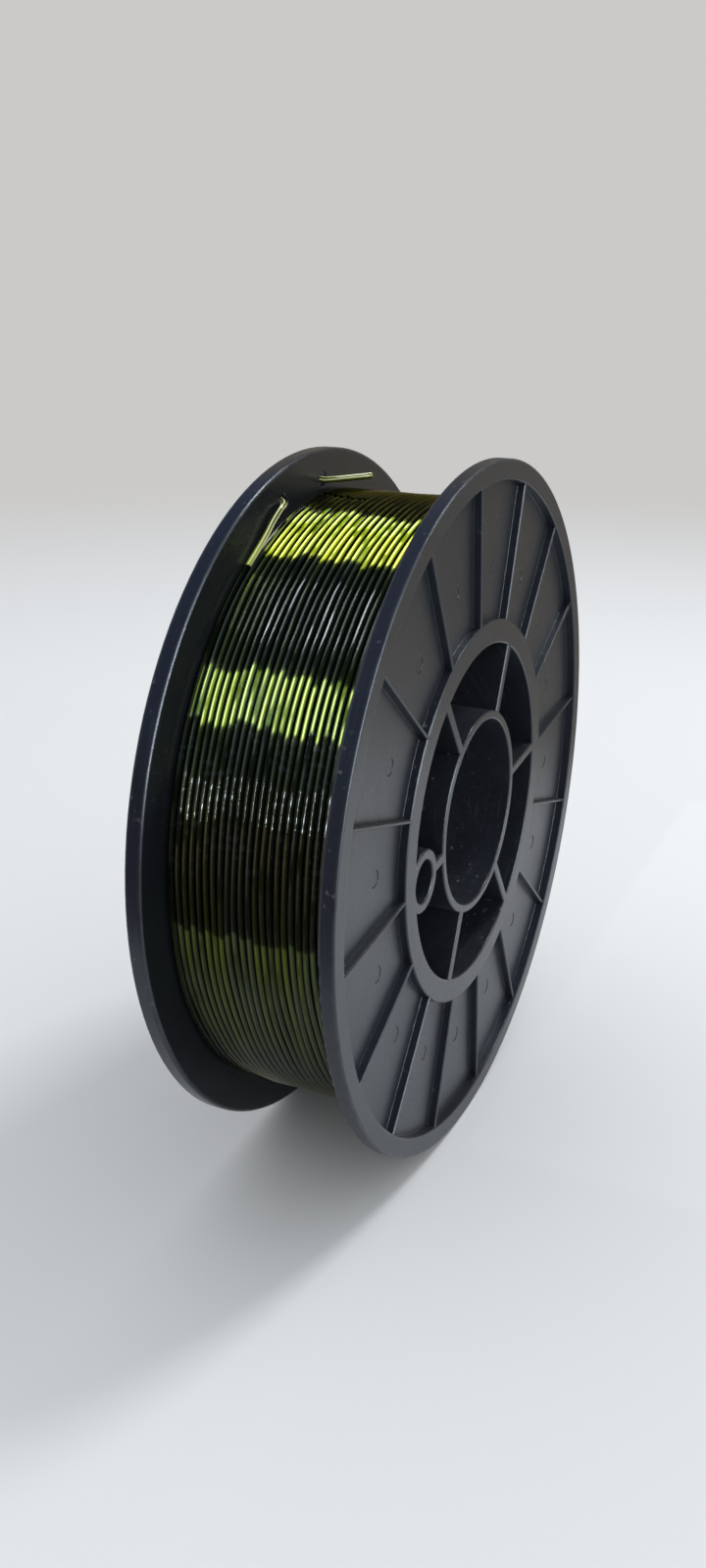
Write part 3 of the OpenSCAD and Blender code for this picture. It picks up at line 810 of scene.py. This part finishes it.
def strandLean(tree, s, t, place, uv, out):
    # along the turns, by each turn's own noise and by one shared with its neighbours; it isn't taken from the
    # tone group, because it also feeds the coat's normal
    scale, shift = (t["slow"], 0.0, 0.0), (0.0, t["kinds"]["Other"][1], 0.0)
    turned = vectorCalc(tree, "MULTIPLY", uv, scale, (-2200, 1000))
    turned = vectorCalc(tree, "ADD", turned, shift, (-2000, 1000))
    own = noise(tree, turned, (1.0, 1.0, 1.0), (-1600, 1000), t["kinds"]["Other"][2])
    own = calc(tree, "MULTIPLY", ramp(tree, own, *t["range"], (-1400, 1100)), s["leanOwn"], (-1200, 1100))
    shared = noise(tree, place, s["leanWaves"], (-1400, 900), 1.0)
    lean = calc(tree, "ADD", own, shared, (-1000, 1000))
    lean = calc(tree, "SUBTRACT", lean, s["leanMiddle"], (-800, 1000))
    lean = calc(tree, "MULTIPLY", lean, s["lean"], (-800, 800))
    tangent = vectorCalc(tree, "CROSS_PRODUCT", (1.0, 0.0, 0.0), out, (-1400, 600))
    return vectorCalc(tree, "SCALE", tangent, lean, (-600, 700))


def bentNormal(tree, share, normal, wanted, place):
    # the surface's own normal, moved by a share of the way to the wanted one
    mix = addNode(tree, "ShaderNodeMix", place, data_type="VECTOR")
    mix.inputs[0].default_value = share
    feed(tree, mix.inputs[4], normal)
    feed(tree, mix.inputs[5], wanted)
    return vectorCalc(tree, "NORMALIZE", mix.outputs[1], place=(place[0] + 200, place[1]))


def makeStrandMaterial(s, coat, tones):
    # clear filament wound on itself: light that enters a turn comes back tinted from the layers under it,
    # over most of its width, and the coat gives the thin white lines of the first surface; the base colour
    # also holds a painted highlight along the crests and painted shade at the sides
    mat, tree, shader = newMaterial("filamentStrand")
    place = addNode(tree, "ShaderNodeTexCoord", (-2200, 300)).outputs["Object"]
    uv = addNode(tree, "ShaderNodeUVMap", (-2400, -300), uv_map="strand").outputs[0]
    normal = addNode(tree, "ShaderNodeNewGeometry", (-2000, 600)).outputs["Normal"]
    tone = useGroup(tree, strandTone, (-1700, -300), Along=uv)
    flat = vectorCalc(tree, "MULTIPLY", place, (0.0, 1.0, 1.0), (-1800, 300))
    out = vectorCalc(tree, "NORMALIZE", flat, place=(-1600, 300))
    up = vectorCalc(tree, "DOT_PRODUCT", out, (0.0, 0.0, 1.0), (-1300, -600))
    ahead = vectorCalc(tree, "DOT_PRODUCT", out, (0.0, -1.0, 0.0), (-1300, -1900))
    toCrest = vectorCalc(tree, "DOT_PRODUCT", normal, out, (-1400, 100))
    toRight = vectorCalc(tree, "DOT_PRODUCT", normal, (1.0, 0.0, 0.0), (-1400, -100))
    body = blend(tree, tone["Turn"], s["deep"], s["bright"], (-1100, 100))
    body = blend(tree, ramp(tree, tone["Other"], *s["greyTurns"], (-1300, 0)), body, s["grey"], (-900, 100))
    # painted shade: the strand's sides turn to the dark colour
    body = blend(tree, ramp(tree, toCrest, *s["sides"], (-1100, 300)), s["edge"], body, (-700, 100))
    # painted highlight: pale lines along the crests, broken along the strand and fewer low down
    left = ramp(tree, up, *coat["low"], (-1100, -500))
    left = calc(tree, "MULTIPLY", left, 1 - s["paintedHighlightBelow"], (-900, -500))
    left = calc(tree, "ADD", left, s["paintedHighlightBelow"], (-700, -500))
    crest = product(tree, ramp(tree, toCrest, *s["paintedHighlightCrest"], (-1100, -200)),
                    ramp(tree, tone["Fine"], *s["paintedHighlightBreaks"], (-1100, -400)), left, place=(-900, -300))
    feed(tree, shader.inputs["Base Color"], blend(tree, crest, body, s["paintedCrestHighlight"], (-500, 100)))
    setInputs(shader, s["inputs"])
    weight = coatWeight(tree, coat, place, uv, tone, up, ahead, toCrest, toRight)
    feed(tree, shader.inputs["Coat Weight"], weight)
    lean = strandLean(tree, s, tones, place, uv, out)
    aside = vectorCalc(tree, "ADD", out, (s["aside"], 0.0, 0.0), (-800, 400))
    inner = vectorCalc(tree, "ADD", aside, lean, (-600, 400))
    outer = vectorCalc(tree, "ADD", out, lean, (-600, 900))
    feed(tree, shader.inputs["Normal"], bentNormal(tree, s["flatten"], normal, inner, (-400, 500)))
    feed(tree, shader.inputs["Coat Normal"], bentNormal(tree, s["soften"], normal, outer, (-400, 800)))
    return mat


endSet = {
    "low": (0.3, 0.36, 0.012, 1),          # painted light: bright where it leaves the winding
    "high": (0.028, 0.036, 0.004, 1),
    "rise": (0.075, 0.087),                # the heights between which the painted light fades
    "riseBreaks": 0.15,
    "glow": (0.85, 0.88, 0.45, 1),         # painted highlights: the two lines of light along a clear strand in the open
    "lines": (0.02, 0.2),                  # where round the strand they lie, as a share of a turn
    "lineEdge": (0.96, 0.995),             # the cosine of the angle from a line, from its edge to its middle
    "inputs": {"Roughness": 0.12, "IOR": 1.57},
}


def makeEndMaterial(s):
    # painted highlights: two lines of light along a clear strand in the open, by the angle round it from
    # each line, over painted light that is bright low on the tail and fades higher up
    mat, tree, shader = newMaterial("filamentEnd")
    uv = addNode(tree, "ShaderNodeUVMap", (-1600, 0), uv_map="strand").outputs[0]
    tone = useGroup(tree, strandTone, (-1300, -300), Along=uv)
    split = addNode(tree, "ShaderNodeSeparateXYZ", (-1400, 200))
    tree.links.new(uv, split.inputs[0])
    place = addNode(tree, "ShaderNodeSeparateXYZ", (-1100, -500))
    tree.links.new(addNode(tree, "ShaderNodeTexCoord", (-1300, -500)).outputs["Object"], place.inputs[0])
    up = calc(tree, "SUBTRACT", ramp(tree, place.outputs["Z"], *s["rise"], (-900, -500)),
              calc(tree, "MULTIPLY", tone["Fine"], s["riseBreaks"], (-900, -300)), (-750, -400))
    # painted light: bright low on the tail, darker higher up
    body = blend(tree, up, s["low"], s["high"], (-600, -100))
    # painted highlights: two pale lines along the strand
    for k, line in enumerate(s["lines"]):
        away = calc(tree, "SUBTRACT", split.outputs["Y"], line, (-1200, 300 * k))
        away = calc(tree, "MULTIPLY", away, 2 * np.pi, (-1100, 300 * k))
        away = calc(tree, "COSINE", away, place=(-900, 300 * k))
        near = ramp(tree, away, *s["lineEdge"], (-700, 300 * k))
        body = blend(tree, near, body, s["glow"], (-400 + 200 * k, 200))
    feed(tree, shader.inputs["Base Color"], body)
    setInputs(shader, s["inputs"])
    return mat


winding, rise, tail = windingPath(windingSet), risePath(windingSet), tailPath(windingSet, tieSet)
path = np.vstack([rise, winding, tail])
side = np.cross(unit(np.gradient(path, axis=0)), path * [0, 1, 1])
side[:len(rise) + windingSet["riseSettle"]] = [1, 0, 0]
grid, uv = sweepStrand(path, windingSet["diameter"] / 2, windingSet["sides"], side, domeSet)
strand = gridMesh("outer_strand", grid, uv, closeColumns=True, endCaps=True)
endMaterial = makeEndMaterial(endSet)
strand.data.materials.append(makeStrandMaterial(strandSet, coatSet, toneSet))
strand.data.materials.append(endMaterial)
# the end's material starts on the tail, a few rings past the winding
firstOpen = (len(domeSet["rings"]) + len(rise) + len(winding) + tieSet["wound"]) * windingSet["sides"]
isOpen = np.arange(len(strand.data.polygons)) >= firstOpen
strand.data.polygons.foreach_set("material_index", isOpen.astype(np.int32))
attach(strand, "root")
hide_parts("filament_outer_layer", "filament_tail")
print("outer strand made:", len(strand.data.polygons), "faces")

coreSet = {
    "crestRadius": 0.0871,   # the layer just under the outer turns
    "innerRadius": 0.0521,
    "halfWidth": 0.0233,
    "across": 190,
    "steps": 240,
    "round": 0.93,           # how much of a half round a crest shows
    "base": (0.028, 0.035, 0.004, 1),
    "worn": (0.05, 0.06, 0.012, 1),
    "dusty": (0.25, 0.25, 0.2, 1),
    "dust": 0.3,
    "roughness": 0.3,
    "fine": 1600.0,
    "slow": 90.0,
    "bump": 0.00001,
}


def coreGrid(s, w):
    # a ring whose outside is a screw of half rounds: the radius is the crest's less what a circle of half a
    # pitch falls away, and the crests lie between the turns above
    pitch = 2 * w["firstX"] / w["turns"]
    turn = np.linspace(0, 2 * np.pi, s["steps"] + 1)[:, None]
    x = np.linspace(s["halfWidth"], -s["halfWidth"], s["across"])[None]
    count = (x + w["firstX"] + pitch * (turn - np.radians(w["endTurn"])) / (2 * np.pi)) / pitch
    fromCrest = np.abs((count + 1) % 1 - 0.5) * pitch
    fall = np.sqrt(np.maximum((pitch / 2) ** 2 - (s["round"] * fromCrest) ** 2, 0))
    r = s["crestRadius"] - pitch / 2 + fall
    length = (np.floor(count) - turn / (2 * np.pi)) * 2 * np.pi * s["crestRadius"]
    x = np.concatenate([x, [[-s["halfWidth"], s["halfWidth"]]]], 1) + 0 * turn
    r = np.concatenate([r, np.full((len(turn), 2), s["innerRadius"])], 1)
    uv = np.stack([np.pad(length, ((0, 0), (0, 3))), np.pad(count, ((0, 0), (0, 3)))], -1)
    return np.stack([x, r * np.sin(turn), r * np.cos(turn)], -1)[:-1], uv


def makeCoreMaterial(s):
    # the layers below: the same filament, in the shade of the turns above and dusty in its grooves
    mat, tree, shader = newMaterial("filamentLayers")
    place = addNode(tree, "ShaderNodeTexCoord", (-1400, 200)).outputs["Object"]
    uv = addNode(tree, "ShaderNodeUVMap", (-1400, -200), uv_map="strand").outputs[0]
    tone = useGroup(tree, strandTone, (-1100, -200), Along=uv)
    grain = useGroup(tree, plasticGrain, (-1100, 200), Place=place, Fine=s["fine"], Slow=s["slow"])
    dust = useGroup(tree, settledDust, (-1100, 500), Place=place, Amount=s["dust"])["Mask"]
    colour = blend(tree, tone["Turn"], s["base"], s["worn"], (-700, 0))
    colour = vectorCalc(tree, "SCALE", colour, grain["Tone"], (-500, 0))
    feed(tree, shader.inputs["Base Color"], blend(tree, dust, colour, s["dusty"], (-200, 0)))
    rough = calc(tree, "MULTIPLY", grain["Tone"], s["roughness"], (-200, -300))
    feed(tree, shader.inputs["Roughness"], rough)
    bump = addNode(tree, "ShaderNodeBump", (200, -500))
    bump.inputs["Distance"].default_value = s["bump"]
    feed(tree, bump.inputs["Height"], grain["Height"])
    feed(tree, shader.inputs["Normal"], bump.outputs[0])
    return mat


grid, uv = coreGrid(coreSet, windingSet)
core = gridMesh("inner_winding", grid, uv, closeRows=True, closeColumns=True)
core.data.materials.append(makeCoreMaterial(coreSet))
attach(core, "root")
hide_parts("filament_inner_layers")
print("inner winding made:", len(core.data.polygons), "faces")

hookSet = {
    "turn": -6.4,            # in the middle of a window of the hub
    "x": -0.0136,
    "outerRadius": 0.052,    # under the winding
    "bendRadius": 0.0489,    # inside the barrel, where the bend starts
    "bend": 0.003,
    "leg": 0.006,
    "steps": 12,
}


def hookPath(s):
    # straight in through the barrel, a quarter circle towards +X, and a straight leg along its inside
    b = np.linspace(0, np.pi / 2, s["steps"])
    x = s["x"] + s["bend"] * (1 - np.cos(b))
    r = s["bendRadius"] - s["bend"] * np.sin(b)
    x = np.concatenate([[s["x"], s["x"]], x, [x[-1] + s["leg"] / 2, x[-1] + s["leg"]]])
    r = np.concatenate([[s["outerRadius"], (s["outerRadius"] + s["bendRadius"]) / 2], r, [r[-1], r[-1]]])
    angle = np.radians(float(s["turn"]))
    return r[:, None] * outAt(angle) + x[:, None] * np.array([1, 0, 0])


path = hookPath(hookSet)
side = np.tile(alongAt(np.radians(float(hookSet["turn"]))), (len(path), 1))
grid, uv = sweepStrand(path, windingSet["diameter"] / 2, windingSet["sides"], side, domeSet)
hook = gridMesh("held_start", grid, uv, closeColumns=True, endCaps=True)
# the held start takes the end's material, with its painted light and highlight lines
hook.data.materials.append(endMaterial)
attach(hook, "root")
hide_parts("filament_start")


def lightOnly(lamps, pieces):
    # these lamps reach these pieces and leave the rest alone
    group = bpy.data.collections.new(lamps[0] + "Receivers")
    for piece in pieces:
        group.objects.link(piece)
    for name in lamps:
        bpy.data.objects[name].light_linking.receiver_collection = group


lightOnly(filamentLamps, (strand, core, hook))
lightOnly(plasticLamps, [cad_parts[name] for name in plasticSet])
